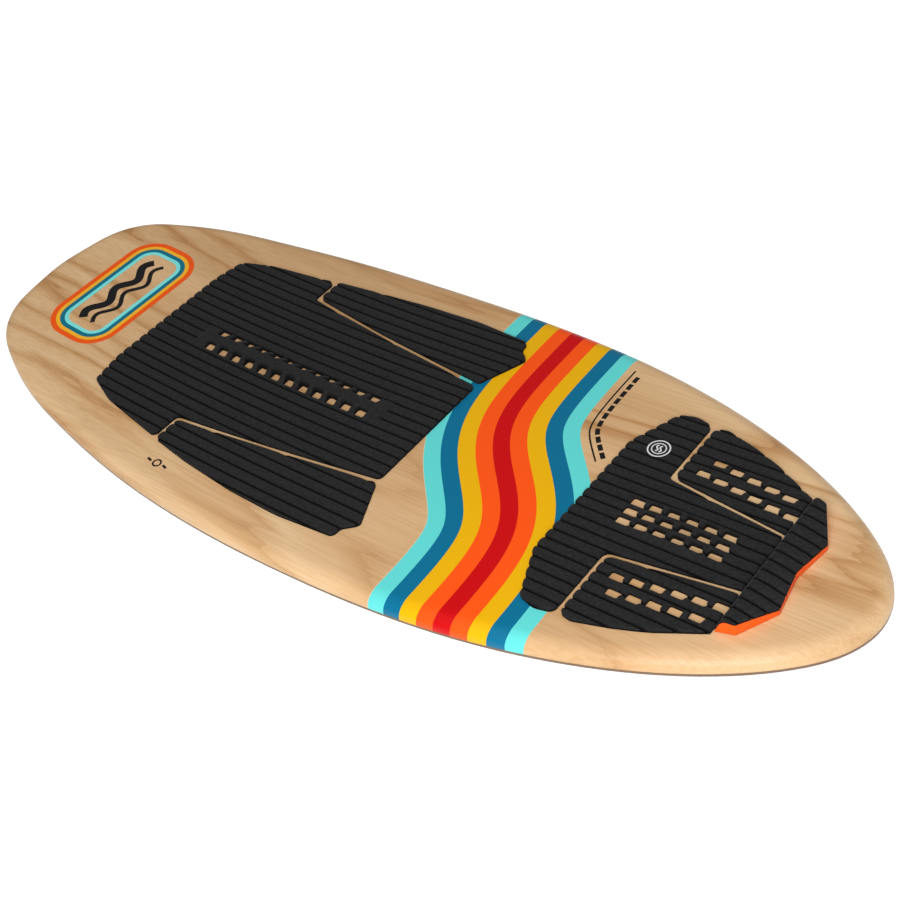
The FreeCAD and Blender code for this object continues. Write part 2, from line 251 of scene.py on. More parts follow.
def closed_spline(points, count):
    """Points evenly spread along a smooth closed curve through `points`, with its unit tangents."""
    p = np.array(points, float)
    n = len(p)
    chord = np.linalg.norm(np.roll(p, -1, 0) - p, axis=1)
    matrix = np.zeros((n, n))
    right = np.zeros((n, 2))
    for i in range(n):
        before = chord[i - 1]
        after = chord[i]
        matrix[i, i - 1] += after
        matrix[i, i] += 2 * (before + after)
        matrix[i, (i + 1) % n] += before
        step_in = (p[i] - p[i - 1]) / before
        step_out = (p[(i + 1) % n] - p[i]) / after
        right[i] = 3 * (after * step_in + before * step_out)
    slopes = np.linalg.solve(matrix, right)
    dense = []
    for i in range(n):
        a, b = p[i], p[(i + 1) % n]
        ma, mb = slopes[i] * chord[i], slopes[(i + 1) % n] * chord[i]
        for t in np.linspace(0, 1, SPLINE_STEPS, endpoint=False):
            dense.append(
                (2 * t ** 3 - 3 * t ** 2 + 1) * a + (t ** 3 - 2 * t ** 2 + t) * ma
                + (3 * t ** 2 - 2 * t ** 3) * b + (t ** 3 - t ** 2) * mb
            )
    dense = np.array(dense + dense[:1])
    run = np.concatenate([[0], np.cumsum(np.linalg.norm(np.diff(dense, axis=0), axis=1))])
    at = np.linspace(0, run[-1], count, endpoint=False)
    curve = np.stack([np.interp(at, run, dense[:, k]) for k in (0, 1)], 1)
    tangent = np.roll(curve, -1, 0) - np.roll(curve, 1, 0)
    tangent /= np.linalg.norm(tangent, axis=1)[:, None]
    return curve, tangent


# ================================================================== surfaces measured on the CAD
deck_tree = tree_of("deck_skin")
rail_tree = tree_of("rail_cap", "rail_edge")
bottom_tree = tree_of("bottom_skin")


def rocker_radius(cast, start, level, station):
    """Radius of the arc that leaves `level` height at `start`, measured at a station near the tip."""
    run = abs(station - start)
    rise = abs(cast(station) - level)
    return (run * run + rise * rise) / (2 * rise)


def deck_cast(y):
    return deck_tree.ray_cast(Vector((OFF_CENTRE, y, 1.0)), Vector((0, 0, -1)))[0].z


def bottom_cast(y):
    return bottom_tree.ray_cast(Vector((OFF_CENTRE, y, -1.0)), Vector((0, 0, 1)))[0].z


class Rocker:
    """Height along the board of the deck or the bottom: level in the middle, an arc to each end."""

    def __init__(self, cast):
        self.level = cast(LEVEL_STATION)
        self.nose = rocker_radius(cast, LEVEL[1], self.level, ARC_STATION)
        self.tail = rocker_radius(cast, LEVEL[0], self.level, -ARC_STATION)

    def __call__(self, y):
        y = np.asarray(y, float)
        ahead = np.clip(y - LEVEL[1], 0, None)
        behind = np.clip(LEVEL[0] - y, 0, None)
        up_nose = self.nose - np.sqrt(self.nose ** 2 - ahead ** 2)
        up_tail = self.tail - np.sqrt(self.tail ** 2 - behind ** 2)
        return self.level + up_nose + up_tail


deck_z = Rocker(deck_cast)
bottom_z = Rocker(bottom_cast)


def rim_point(y, direction):
    """Where a level ray from outside, aimed at the centreline at y, meets the hull's edge.

    The edge's height depends on where it is met, so the ray is cast again at the new height."""
    hit = Vector((0, y + direction[1] * FAN_REACH, 0))
    for _ in range(8):
        height = float(bottom_z(hit.y)) + RIM_RAYS
        start = Vector((0, y, height)) + Vector(direction)
        hit = rail_tree.ray_cast(start, -Vector(direction))[0]
    return hit.x, hit.y


def hull_outline():
    """The hull's plan outline, clockwise from the nose, as evenly spaced points and tangents."""
    right = [(0.0, float(cad_high.y))]
    for degrees in NOSE_FAN:
        a = math.radians(degrees)
        right.append(rim_point(NOSE_FAN_CENTRE, (math.sin(a), math.cos(a), 0)))
    for y in SIDE_STATIONS:
        right.append(rim_point(y, (1, 0, 0)))
    for degrees in TAIL_FAN:
        a = math.radians(degrees)
        right.append(rim_point(TAIL_FAN_CENTRE, (math.sin(a), -math.cos(a), 0)))
    right.append((0.0, float(cad_low.y)))
    left = [(-x, y) for x, y in reversed(right[1:-1])]
    return closed_spline(right + left, RIM_STEPS)


# ================================================================== node materials
class Nodes:
    """A small builder for one material's node tree."""

    def __init__(self, name, roughness, coat=0.0):
        self.material = bpy.data.materials.new(name)
        self.material.use_nodes = True
        self.tree = self.material.node_tree
        self.shader = self.tree.nodes["Principled BSDF"]
        self.shader.inputs["Roughness"].default_value = roughness
        self.shader.inputs["Coat Weight"].default_value = coat
        self.shader.inputs["Coat Roughness"].default_value = 0.12
        coords = self.tree.nodes.new("ShaderNodeTexCoord")
        self.object_coords = coords.outputs["Object"]

    def link(self, a, b):
        self.tree.links.new(a, b)

    def scaled(self, scale):
        mapping = self.tree.nodes.new("ShaderNodeMapping")
        mapping.inputs["Scale"].default_value = scale
        self.link(self.object_coords, mapping.inputs["Vector"])
        return mapping.outputs["Vector"]

    def noise(self, scale, detail, distortion=0.0, stretch=(1, 1, 1)):
        node = self.tree.nodes.new("ShaderNodeTexNoise")
        node.inputs["Scale"].default_value = scale
        node.inputs["Detail"].default_value = detail
        node.inputs["Distortion"].default_value = distortion
        self.link(self.scaled(stretch), node.inputs["Vector"])
        return node.outputs["Fac"]

    def ramp(self, value, stops, constant=False):
        node = self.tree.nodes.new("ShaderNodeValToRGB")
        ramp = node.color_ramp
        ramp.interpolation = "CONSTANT" if constant else "LINEAR"
        while len(ramp.elements) > 1:
            ramp.elements.remove(ramp.elements[-1])
        ramp.elements[0].position = stops[0][0]
        ramp.elements[0].color = stops[0][1]
        for position, colour in stops[1:]:
            ramp.elements.new(position).color = colour
        self.link(value, node.inputs["Fac"])
        return node.outputs["Color"]

    def math(self, operation, a, b):
        node = self.tree.nodes.new("ShaderNodeMath")
        node.operation = operation
        for socket, value in zip(node.inputs, (a, b)):
            if isinstance(value, (int, float)):
                socket.default_value = value
            else:
                self.link(value, socket)
        return node.outputs[0]

    def mix(self, factor, a, b, blend="MIX"):
        node = self.tree.nodes.new("ShaderNodeMix")
        node.data_type = "RGBA"
        node.blend_type = blend
        for socket, value in ((node.inputs[0], factor), (node.inputs[6], a), (node.inputs[7], b)):
            if isinstance(value, (int, float, tuple)):
                socket.default_value = value
            else:
                self.link(value, socket)
        return node.outputs[2]

    def attribute(self, name):
        node = self.tree.nodes.new("ShaderNodeAttribute")
        node.attribute_name = name
        return node.outputs["Fac"]

    def bump(self, height, strength, distance):
        node = self.tree.nodes.new("ShaderNodeBump")
        node.inputs["Strength"].default_value = strength
        node.inputs["Distance"].default_value = distance
        self.link(height, node.inputs["Height"])
        self.link(node.outputs["Normal"], self.shader.inputs["Normal"])

    def colour(self, value):
        self.set("Base Color", value)

    def set(self, socket, value):
        if isinstance(value, (int, float, tuple)):
            self.shader.inputs[socket].default_value = value
        else:
            self.link(value, self.shader.inputs[socket])


def wood_colour(n):
    """Veneer: broad soft bands, the flame-shaped lines of growth rings and fine fibres along the board."""
    bands = n.noise(4.0, 3.0, 0.5, (1.0, 0.22, 1.0))
    colour = n.ramp(bands, [
        (0.30, srgb(WOOD_DARK)), (0.46, srgb(WOOD_MID)), (0.60, srgb(WOOD_LIGHT)), (0.76, srgb(WOOD_MID)),
    ])
    height = n.noise(2.6, 1.6, 0.55, (1.0, 0.16, 1.0))
    wobble = n.noise(40.0, 3.0, 0.4, (1.0, 0.05, 1.0))
    phase = n.math("ADD", n.math("MULTIPLY", height, RINGS), n.math("MULTIPLY", wobble, 0.9))
    ring = n.math("FRACT", phase, 0)
    ring_tone = n.ramp(ring, [
        (0.0, (0.66, 0.50, 0.35, 1)), (0.10, (0.80, 0.68, 0.54, 1)), (0.34, (0.98, 0.95, 0.92, 1)),
        (0.80, (1, 1, 1, 1)), (1.0, (0.80, 0.68, 0.54, 1)),
    ])
    patches = n.noise(5.0, 2.0, 0.0, (1.0, 0.3, 1.0))
    strength = n.ramp(patches, [(0.36, grey(0.22)), (0.60, grey(0.95))])
    colour = n.mix(strength, colour, ring_tone, "MULTIPLY")
    fibres = n.noise(420.0, 4.0, 0.3, (1.0, 0.025, 1.0))
    fibre_tone = n.ramp(fibres, [(0.36, (0.82, 0.74, 0.64, 1)), (0.58, (1.0, 1.0, 1.0, 1))])
    return n.mix(0.45, colour, fibre_tone, "MULTIPLY")


def deck_material():
    """Veneer under a satin coat, with the stripes printed where the "stripe" attribute says."""
    n = Nodes("printed deck", roughness=0.45, coat=0.12)
    n.set("Specular IOR Level", 0.2)
    wood = wood_colour(n)
    # The ramp holds the stripes and one more band's width of plain wood at each end.
    span = len(STRIPES) + 2
    across = n.math("DIVIDE", n.math("ADD", n.attribute("stripe"), span / 2), float(span))
    stops = [(0.0, srgb(WOOD_LIGHT))]
    for k, colour in enumerate(STRIPES):
        stops.append(((k + 1) / span, srgb(colour)))
    stops.append(((span - 1) / span, srgb(WOOD_LIGHT)))
    bands = n.ramp(across, stops, constant=True)
    inside = n.math("LESS_THAN", n.math("ABSOLUTE", n.attribute("stripe"), 0), len(STRIPES) / 2)
    n.colour(n.mix(inside, wood, bands))
    n.set("Roughness", n.ramp(n.noise(30.0, 3.0), [(0.3, grey(0.33)), (0.7, grey(0.44))]))
    n.bump(n.noise(220.0, 2.0, 0.0, (1, 0.15, 1)), 0.05, 0.4 * MM)
    return n.material


def foam_material(name, colour, contrast):
    """Closed-cell foam with a brushed surface, and painted shade down in its channels and on its walls."""
    n = Nodes(name, roughness=0.8)
    dark = tuple(c * (1 - contrast) for c in colour)
    light = tuple(min(255, c * (1 + contrast)) for c in colour)
    speckle = n.ramp(n.noise(420.0, 3.0, 0.0, (1.0, 0.5, 1.0)), [(0.36, grey(0)), (0.64, grey(1))])
    patches = n.noise(24.0, 3.0, 0.6)
    tone = n.mix(n.math("MULTIPLY", speckle, 0.9), srgb(dark), srgb(light))
    tone = n.mix(n.math("MULTIPLY", patches, 0.35), tone, srgb(light))
    # Painted shade: where the channel attribute is high, in the channels and on the walls, the colour falls
    # to near black and the sheen and specular fade with it.
    shade_colour = tuple(c * 0.15 for c in colour)
    lit = n.math("SUBTRACT", 1.0, n.math("MULTIPLY", n.attribute("channel"), 0.92))
    n.colour(n.mix(lit, srgb(shade_colour), tone))
    n.set("Sheen Weight", n.math("MULTIPLY", lit, 0.06))
    n.set("Sheen Roughness", 0.5)
    n.set("Specular IOR Level", n.math("MULTIPLY", lit, 0.17))
    n.bump(n.noise(1500.0, 3.0), 0.35, 0.4 * MM)
    return n.material


def plastic_material(name, colour, roughness, coat=0.0):
    """Plain moulded material with a faint grain."""
    n = Nodes(name, roughness=roughness, coat=coat)
    lighter = tuple(min(255, c * 1.08 + 2) for c in colour)
    n.colour(n.mix(n.noise(60.0, 3.0), srgb(colour), srgb(lighter)))
    n.bump(n.noise(400.0, 2.0), 0.06, 0.3 * MM)
    return n.material


def print_material(name, colour):
    """Ink under the deck's satin coat."""
    n = Nodes(name, roughness=0.45, coat=0.12)
    n.set("Specular IOR Level", 0.2)
    darker = tuple(c * 0.93 for c in colour)
    n.colour(n.mix(n.noise(120.0, 3.0), srgb(colour), srgb(darker)))
    return n.material


def steel_material():
    n = Nodes("screw steel", roughness=0.3)
    n.set("Metallic", 1.0)
    n.colour(n.mix(n.noise(300.0, 2.0), srgb((170, 170, 172)), srgb((198, 198, 200))))
    return n.material


# ================================================================== hull
def stripe_path():
    """The middle stripe's centre line in plan."""
    x = np.linspace(-STRIPE_REACH, STRIPE_REACH, 500)
    middle = (STRIPE_RIGHT + STRIPE_LEFT) / 2
    half = (STRIPE_RIGHT - STRIPE_LEFT) / 2
    y = middle + half * np.tanh((x - STRIPE_TURN) / STRIPE_SOFTNESS)
    return np.stack([x, y], 1)


def stripe_distance(points):
    """How many stripe widths each plan point lies towards the tail from the middle stripe's centre."""
    path = stripe_path()
    out = np.empty(len(points))
    for start in range(0, len(points), BLOCK):
        block = points[start:start + BLOCK]
        gap = block[:, None, :] - path[None]
        near = (gap ** 2).sum(2).argmin(1)
        near = np.clip(near, 1, len(path) - 2)
        along = path[near + 1] - path[near - 1]
        along /= np.linalg.norm(along, axis=1)[:, None]
        offset = block - path[near]
        out[start:start + BLOCK] = offset[:, 1] * along[:, 0] - offset[:, 0] * along[:, 1]
    return -out / STRIPE_PITCH


def deck_hull():
    """The printed deck laminate: skirt from the parting line, rounded shoulder, then the deck."""
    rim, tangent = hull_outline()
    inward = np.stack([tangent[:, 1], -tangent[:, 0]], 1)
    loops = []

    def ring(plan, height):
        loops.append(np.column_stack([plan, height]))

    floor = bottom_z(rim[:, 1])
    ring(rim, floor + PARTING)
    for k in range(SHOULDER_STEPS + 1):
        angle = math.pi / 2 * k / SHOULDER_STEPS
        plan = rim + inward * SHOULDER * (1 - math.cos(angle))
        low = bottom_z(plan[:, 1]) + RAIL_WIDEST
        high = deck_z(plan[:, 1])
        ring(plan, low + (high - low) * math.sin(angle))
    inset = rim + inward * SHOULDER
    spine = np.column_stack([np.zeros(len(rim)), np.clip(inset[:, 1], *SPINE)])
    for k in range(1, INNER_STEPS + 1):
        plan = inset + (spine - inset) * (k / INNER_STEPS)
        ring(plan, deck_z(plan[:, 1]))
    count = len(rim)
    verts = np.concatenate(loops)
    faces = []
    for r in range(len(loops) - 1):
        for i in range(count):
            j = (i + 1) % count
            faces.append((r * count + i, r * count + j, (r + 1) * count + j, (r + 1) * count + i))
    obj = add_mesh("printed_deck", verts, faces, deck_material())
    b = bmesh.new()
    b.from_mesh(obj.data)
    bmesh.ops.remove_doubles(b, verts=b.verts, dist=WELD)
    bmesh.ops.recalc_face_normals(b, faces=b.faces)
    if sum(f.normal.z for f in b.faces) < 0:
        bmesh.ops.reverse_faces(b, faces=b.faces)
    b.to_mesh(obj.data)
    b.free()
    co = np.empty(len(obj.data.vertices) * 3)
    obj.data.vertices.foreach_get("co", co)
    values = stripe_distance(co.reshape(-1, 3)[:, :2])
    layer = obj.data.attributes.new("stripe", "FLOAT", "POINT")
    layer.data.foreach_set("value", values.astype(np.float32))
    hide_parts("deck_skin", "rail_cap")


# ================================================================== pads
def bottom_loops(node):
    """The outline and openings of a CAD sheet's underside, as plan segments.

    They are the edges that belong to one face of the underside only."""
    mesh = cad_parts[node].data
    uses = {}
    corners = {}

    def corner(i):
        co = mesh.vertices[i].co
        return corners.setdefault((round(co.x, 6), round(co.y, 6)), (co.x, co.y))

    for p in mesh.polygons:
        if p.normal.z > -0.8:
            continue
        ring = [corner(i) for i in p.vertices]
        for a, b in zip(ring, ring[1:] + ring[:1]):
            edge = (a, b) if (b, a) not in uses else (b, a)
            if edge in uses:
                del uses[edge]
            else:
                uses[edge] = True
    return np.array([[a, b] for a, b in uses if a != b])


def crossing(directions):
    """1 for an edge that runs across the board's channels, falling to 0 for one nearly along them."""
    share = np.abs(directions[:, 0]) / np.maximum(np.linalg.norm(directions, axis=1), 1e-12)
    none, full = CROSSING
    return np.clip((share - none) / (full - none), 0, 1)


def signed_distance(points, segments):
    """Each point's distance from the outline, negative where the sheet is.

    Also how squarely the nearest segment crosses the channels: 1 across them, 0 along them."""
    a = segments[:, 0]
    d = segments[:, 1] - a
    length = (d ** 2).sum(1)
    across = crossing(d)
    out = np.empty(len(points))
    squareness = np.empty(len(points))
    for start in range(0, len(points), BLOCK):
        q = points[start:start + BLOCK]
        rel = q[:, None] - a[None]
        t = np.clip((rel * d[None]).sum(2) / length, 0, 1)
        gaps = ((rel - t[..., None] * d[None]) ** 2).sum(2)
        nearest = gaps.argmin(1)
        gap = np.sqrt(gaps[np.arange(len(q)), nearest])
        squareness[start:start + BLOCK] = across[nearest]
        y = q[:, 1][:, None]
        spans = (a[:, 1][None] > y) != ((a + d)[:, 1][None] > y)
        rise = np.where(np.abs(d[:, 1]) < 1e-12, 1e-12, d[:, 1])
        cross_x = a[:, 0][None] + (y - a[:, 1][None]) * (d[:, 0] / rise)[None]
        inside = (spans & (q[:, 0][:, None] < cross_x)).sum(1) % 2 == 1
        out[start:start + BLOCK] = np.where(inside, -gap, gap)
    return out, squareness


class Grooves:
    """Evenly spaced channels that run along the board."""

    def __init__(self, pitch, start, rounding=RIDGE_ROUNDING):
        self.pitch = pitch
        self.start = start
        self.rounding = rounding

    def columns(self, low, high):
        """Sample positions across the ridges, closer together beside each channel."""
        offsets = np.append(np.array(RIDGE_SAMPLES) * MM, self.pitch / 2)
        first = int(math.floor((low - self.start) / self.pitch)) - 1
        last = int(math.ceil((high - self.start) / self.pitch)) + 1
        found = []
        for k in range(first, last + 1):
            centre = self.start + k * self.pitch
            found += list(centre + offsets) + list(centre - offsets[1:])
        found = np.unique(np.round(found, 6))
        return found[(found > low - PAD_MARGIN) & (found < high + PAD_MARGIN)]

    def share(self, x, width):
        """1 in the middle of a channel, falling to 0 over the width."""
        turns = (x - self.start) / self.pitch
        offset = np.abs(turns - np.round(turns)) * self.pitch
        return np.exp(-(offset / width) ** 2)

    def drop(self, x, fade=1.0):
        """How far the ridged surface lies below the ridge tops."""
        channel = GROOVE_DEPTH * self.share(x, GROOVE_WIDTH)
        shoulder = self.rounding * self.share(x, ROUNDING_WIDTH)
        return (channel + shoulder) * fade

    def notch(self, x, depth):
        """How far a sheet's outline is drawn in where a channel runs out through it."""
        return depth * self.share(x, SCALLOP_WIDTH)


def arch_height(x, y, arch):
    """Rise of a moulded rib: a smooth hump across, growing from both ends."""
    along = np.clip((y - arch["tail"]) / (arch["nose"] - arch["tail"]), 0, 1)
    rise = np.clip(np.sin(math.pi * along), 0, 1) ** ARCH_FULLNESS
    t = np.clip((arch["foot"] - np.abs(x)) / (arch["foot"] - arch["crest"]), 0, 1)
    return arch["rise"] * rise * t * t * (3 - 2 * t)


def all_ridged(x, y):
    """The share of ridges on a sheet that has them everywhere."""
    return 1.0


def sheet(name, node, grooves, top, floor, material, rows=None, ridged=all_ridged, scallop=SCALLOP):
    """A foam sheet over a CAD node's outline: its moulded top, rounded rim and upright walls."""
    segments = bottom_loops(node)
    low = segments.reshape(-1, 2).min(0)
    high = segments.reshape(-1, 2).max(0)
    xs = grooves.columns(low[0], high[0])
    ys = rows if rows is not None else np.arange(low[1] - PAD_MARGIN, high[1] + PAD_MARGIN, ROW_STEP)
    gx, gy = np.meshgrid(xs, ys, indexing="ij")
    points = np.stack([gx.ravel(), gy.ravel()], 1)
    distance, across = signed_distance(points, segments)
    distance += grooves.notch(points[:, 0], scallop * across)
    points, distance = snap_to_rim(points, distance, gx.shape, segments, grooves, scallop)
    faces = kept_faces(distance, gx.shape, points, segments, grooves, scallop)
    used = np.unique([i for f in faces for i in f])
    remap = {int(old): new for new, old in enumerate(used)}
    faces = [[remap[i] for i in f] for f in faces]
    points = points[used]
    inside = np.clip(-distance[used], 0, None)
    near_rim = np.clip(1 - inside / PAD_EDGE_WIDTH, 0, 1)
    rounding = PAD_EDGE * (1 - np.sqrt(1 - near_rim ** 2))
    heights = top(points[:, 0], points[:, 1]) - rounding
    verts = [tuple(v) for v in np.column_stack([points, heights])]
    # Painted shade: the channels' share, times the sheet's share of ridges, and full on the walls added
    # below; stored as the channel attribute.
    shade = list(grooves.share(points[:, 0], GROOVE_SHADE_WIDTH) * ridged(points[:, 0], points[:, 1]))
    faces += add_walls(verts, faces, floor)
    shade += [1.0] * (len(verts) - len(shade))
    obj = add_mesh(name, verts, faces, material)
    layer = obj.data.attributes.new("channel", "FLOAT", "POINT")
    layer.data.foreach_set("value", np.array(shade, np.float32))
    obj.data.set_sharp_from_angle(angle=math.radians(PAD_SHARP))
    return obj


def snap_to_rim(points, distance, shape, segments, grooves, scallop):
    """Of each pair of grid points that straddles the outline, moves the nearer one on to it."""
    grid = distance.reshape(shape)
    snap = np.zeros(shape, bool)
    for axis in (0, 1):
        a = [slice(None), slice(None)]
        b = [slice(None), slice(None)]
        a[axis] = slice(0, -1)
        b[axis] = slice(1, None)
        a, b = tuple(a), tuple(b)
        crosses = (grid[a] > 0) != (grid[b] > 0)
        nearer = np.abs(grid[a]) < np.abs(grid[b])
        snap[a] |= crosses & nearer
        snap[b] |= crosses & ~nearer
    chosen = np.flatnonzero(snap.ravel())
    points = points.copy()
    distance = distance.copy()
    a = segments[:, 0]
    d = segments[:, 1] - a
    length = (d ** 2).sum(1)
    q = points[chosen]
    t = np.clip(((q[:, None] - a) * d).sum(2) / length, 0, 1)
    near = a + t[..., None] * d
    closest = ((q[:, None] - near) ** 2).sum(2).argmin(1)
    rim = near[np.arange(len(chosen)), closest]
    inward = q - rim
    inward /= np.maximum(np.linalg.norm(inward, axis=1), 1e-9)[:, None]
    drawn_in = grooves.notch(q[:, 0], scallop * crossing(d)[closest])
    inward *= np.where(distance[chosen] < drawn_in, 1, -1)[:, None]
    points[chosen] = rim + inward * drawn_in[:, None]
    distance[chosen] = 0.0
    return points, distance


def kept_faces(distance, shape, points, segments, grooves, scallop):
    """Grid cells inside the outline, with the corner cells cut to triangles."""
    index = np.arange(distance.size).reshape(shape)
    around = [index[:-1, :-1], index[1:, :-1], index[1:, 1:], index[:-1, 1:]]
    corners = np.stack(around, -1).reshape(-1, 4)
    outside = distance[corners] > 0
    rim_only = (distance[corners] == 0).all(1)
    count = outside.sum(1)
    faces = []
    doubtful = []
    for ring in corners[(count == 0) & ~rim_only]:
        faces.append(list(ring))
    for ring in corners[(count == 0) & rim_only]:
        doubtful.append(list(ring))
    for ring, out in zip(corners[count == 1], outside[count == 1]):
        tri = [i for i, o in zip(ring, out) if not o]
        (doubtful if all(distance[i] == 0 for i in tri) else faces).append(tri)
    if doubtful:
        centres = np.array([points[f].mean(0) for f in doubtful])
        gap, across = signed_distance(centres, segments)
        keep = gap + grooves.notch(centres[:, 0], scallop * across) < 0
        faces += [f for f, k in zip(doubtful, keep) if k]
    return faces


def add_walls(verts, faces, floor):
    """Walls from a surface's free edges down to the floor height."""
    free = {}
    for f in faces:
        for a, b in zip(f, f[1:] + f[:1]):
            if (b, a) in free:
                del free[(b, a)]
            else:
                free[(a, b)] = True
    walls = []
    lower = {}
    for a, b in free:
        for i in (a, b):
            if i not in lower:
                lower[i] = len(verts)
                x, y, _ = verts[i]
                verts.append((x, y, float(floor(x, y))))
        walls.append([b, a, lower[a], lower[b]])
    return walls


def pad_levels(node):
    """Heights above the deck of a CAD pad's underside and of its ridge tops."""
    tree = tree_of(node)
    low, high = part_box(node)
    y = (low.y + high.y) / 2
    found = []
    for x in np.linspace(low.x, high.x, 160):
        down = tree.ray_cast(Vector((x, y, 1)), Vector((0, 0, -1)))[0]
        up = tree.ray_cast(Vector((x, y, -1)), Vector((0, 0, 1)))[0]
        if down is not None:
            found.append((up.z, down.z))
    base = float(deck_z(y))
    return min(f[0] for f in found) - base, max(f[1] for f in found) - base


def build_pads(foam):
    """The six foam sheets ahead of the kick, with the raised ribs moulded into the centre ones."""
    film, height = pad_levels("front_centre_pad")
    front_grooves = Grooves(*FRONT_GROOVES)
    rear_grooves = Grooves(*REAR_GROOVES)

    def front_ridged(x, y):
        """0 on the bare rib down the middle of the front pad, 1 elsewhere."""
        bare = np.clip((FRONT_ARCH["foot"] - np.abs(x)) / BARE_SIDE, 0, 1)
        ahead = np.clip((FRONT_ARCH["nose"] - y) / BARE_END, 0, 1)
        behind = np.clip((y - FRONT_ARCH["tail"]) / BARE_END, 0, 1)
        return 1 - bare * ahead * behind

    def front_top(x, y):
        rise = arch_height(x, y, FRONT_ARCH)
        return deck_z(y) + height + rise - front_grooves.drop(x, front_ridged(x, y))

    def rear_top(x, y):
        rise = arch_height(x, y, REAR_ARCH)
        return deck_z(y) + height + rise - rear_grooves.drop(x)

    def floor(x, y):
        return deck_z(y) + film

    def flat_top_with(grooves):
        def flat_top(x, y):
            return deck_z(y) + height - grooves.drop(x)
        return flat_top

    front = sheet(
        "front_centre_foam", "front_centre_pad", front_grooves, front_top, floor, foam, ridged=front_ridged,
    )
    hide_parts("front_centre_pad", "front_arch_bar")
    rear = sheet("rear_centre_foam", "rear_centre_pad", rear_grooves, rear_top, floor, foam)
    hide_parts("rear_centre_pad", "rear_arch_bar")
    for end, grooves in (("front", front_grooves), ("rear", rear_grooves)):
        for side in ("left", "right"):
            node = f"{end}_{side}_pad"
            top = flat_top_with(grooves)
            piece = sheet(f"{end}_{side}_foam", node, grooves, top, floor, foam)
            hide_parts(node)


def build_kick(foam, orange):
    """The kick's black sheet, moulded over the CAD's foam core, which stays as it is."""
    core = tree_of("kick_core")
    low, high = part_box("kick_core")
    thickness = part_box("kick_sheet")[1].z - high.z
    ys = np.linspace(low.y + 0.1 * MM, high.y - 0.02 * MM, 120)
    heights = []
    for y in ys:
        hit = core.ray_cast(Vector((KICK_LOBE, y, 1)), Vector((0, 0, -1)))[0]
        heights.append(hit.z - float(deck_z(y)))

    def core_top(x, y):
        return deck_z(y) + np.interp(y, ys, heights)

    grooves = Grooves(*REAR_GROOVES, rounding=KICK_ROUNDING)

    def top(x, y):
        return core_top(x, y) + thickness - grooves.drop(x)

    rows = np.concatenate([
        np.arange(low.y - PAD_MARGIN, high.y - KICK_FRONT, ROW_STEP),
        np.arange(high.y - KICK_FRONT, high.y + PAD_MARGIN, KICK_ROW_STEP),
    ])
    obj = sheet("kick_top_sheet", "kick_core", grooves, top, core_top, foam, rows=rows, scallop=0.0)
    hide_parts("kick_sheet")
    paint("kick_core", orange, bevel=0.6 * MM)


# ================================================================== printed emblem and badge
def rounded_rectangle(centre, half, radius, steps=14):
    """Plan points round a rectangle with rounded corners."""
    points = []
    corners = [(1, 1, 0), (-1, 1, 90), (-1, -1, 180), (1, -1, 270)]
    for sx, sy, start in corners:
        for k in range(steps + 1):
            a = math.radians(start + 90 * k / steps)
            x = centre[0] + sx * (half[0] - radius) + radius * math.cos(a)
            y = centre[1] + sy * (half[1] - radius) + radius * math.sin(a)
            points.append((x, y))
    return points


def on_deck(points, lift=PRINT_LIFT):
    """Plan points raised to just above the deck."""
    return [(x, y, float(deck_z(y)) + lift) for x, y in points]


def band(name, outer, inner, material):
    """A printed band between two closed outlines with matching points."""
    count = len(outer)
    verts = on_deck(outer) + on_deck(inner)
    faces = [(i, (i + 1) % count, count + (i + 1) % count, count + i) for i in range(count)]
    add_mesh(name, verts, faces, material)


def ribbon(name, path, width, material, lift=PRINT_LIFT):
    """A printed stroke of even width along an open plan path."""
    p = np.array(path, float)
    along = np.gradient(p, axis=0)
    along /= np.linalg.norm(along, axis=1)[:, None]
    side = np.stack([-along[:, 1], along[:, 0]], 1) * width / 2
    verts = on_deck(p + side, lift) + on_deck(p - side, lift)
    count = len(p)
    faces = [(i, count + i, count + i + 1, i + 1) for i in range(count - 1)]
    return add_mesh(name, verts, faces, material)


def build_emblem(ink):
    """Nested bands, each split along its straight sides to follow the deck, and two waves in them."""
    half = np.array(EMBLEM_HALF)
    radius = EMBLEM_CORNER
    for name, width, colour in EMBLEM_BANDS:
        outer = rounded_rectangle(EMBLEM_CENTRE, half, radius)
        inner = rounded_rectangle(EMBLEM_CENTRE, half - width, radius - width)
        pairs = list(zip(outer, inner))
        fine_outer = []
        fine_inner = []
        for (a, c), (b, d) in zip(pairs, pairs[1:] + pairs[:1]):
            n = max(1, int(math.ceil(math.dist(a, b) / EMBLEM_STEP)))
            for k in range(n):
                t = k / n
                fine_outer.append((a[0] + (b[0] - a[0]) * t, a[1] + (b[1] - a[1]) * t))
                fine_inner.append((c[0] + (d[0] - c[0]) * t, c[1] + (d[1] - c[1]) * t))
        band(name, fine_outer, fine_inner, print_material(name.replace("_", " "), colour))
        half = half - width
        radius = radius - width
    x = np.linspace(-WAVE_HALF_LENGTH, WAVE_HALF_LENGTH, 90)
    for offset, width in WAVES:
        swell = WAVE_HEIGHT * np.cos(x / WAVE_HALF_LENGTH * math.pi * WAVE_COUNT)
        y = EMBLEM_CENTRE[1] + offset + swell
        ribbon("emblem_wave", np.stack([EMBLEM_CENTRE[0] + x, y], 1), width, ink)


